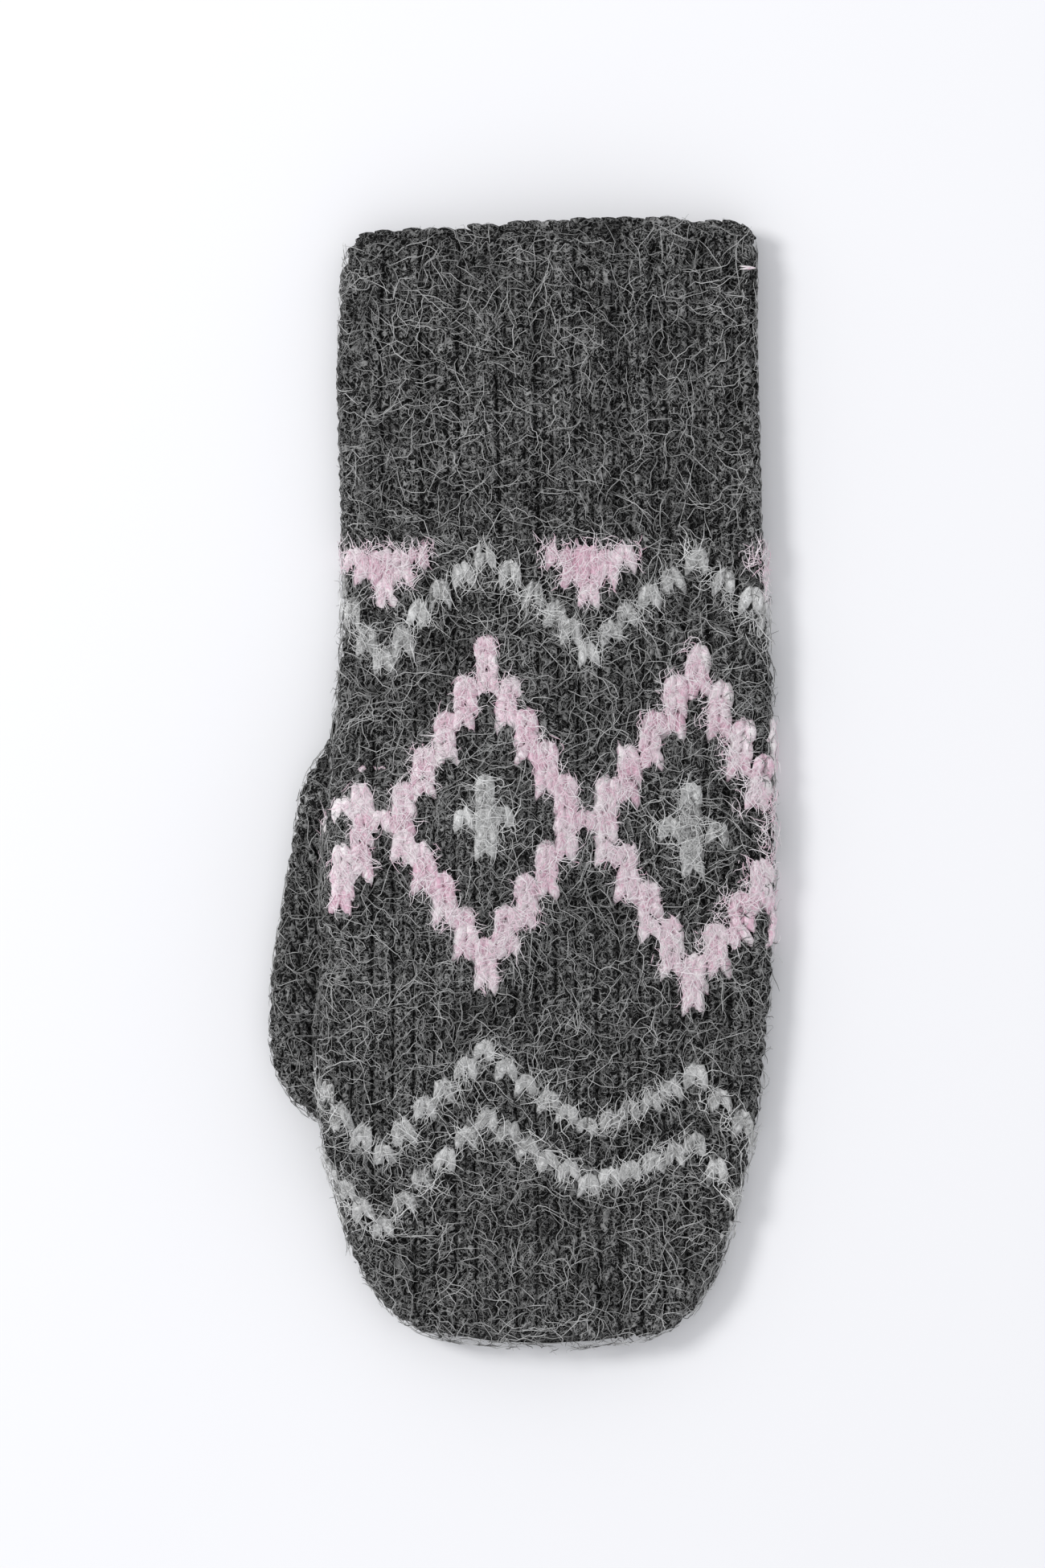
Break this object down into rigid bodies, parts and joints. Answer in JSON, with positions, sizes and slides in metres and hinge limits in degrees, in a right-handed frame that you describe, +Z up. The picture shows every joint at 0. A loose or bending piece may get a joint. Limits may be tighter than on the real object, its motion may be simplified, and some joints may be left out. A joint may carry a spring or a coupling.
{
  "type": "jacquard mitten",
  "caption": "Left-hand knitted wool mitten lying flat, back up, with a ribbed cuff, rounded fingertips and the thumb folded under the palm.",
  "frame": {"origin": "middle of the mitten's outline seen from above, on the surface that it lies on", "axes": "+Y towards the open cuff, -Y towards the fingertips, +Z up out of the back of the hand, the thumb on the -X side"},
  "size_m": [0.1118, 0.25, 0.0248],
  "materials": {
    "charcoal_wool": "brushed wool jersey, dark grey with paler fibres",
    "charcoal_rib": "brushed wool in one by one ribbing",
    "charcoal_thumb": "brushed wool jersey",
    "pink_wool": "pale pink brushed wool stitches",
    "grey_wool": "light grey brushed wool stitches"
  },
  "bodies": {
    "root": {"hand": "charcoal_wool", "cuff": "charcoal_rib", "thumb": "charcoal_thumb"}
  },
  "joints": []
}
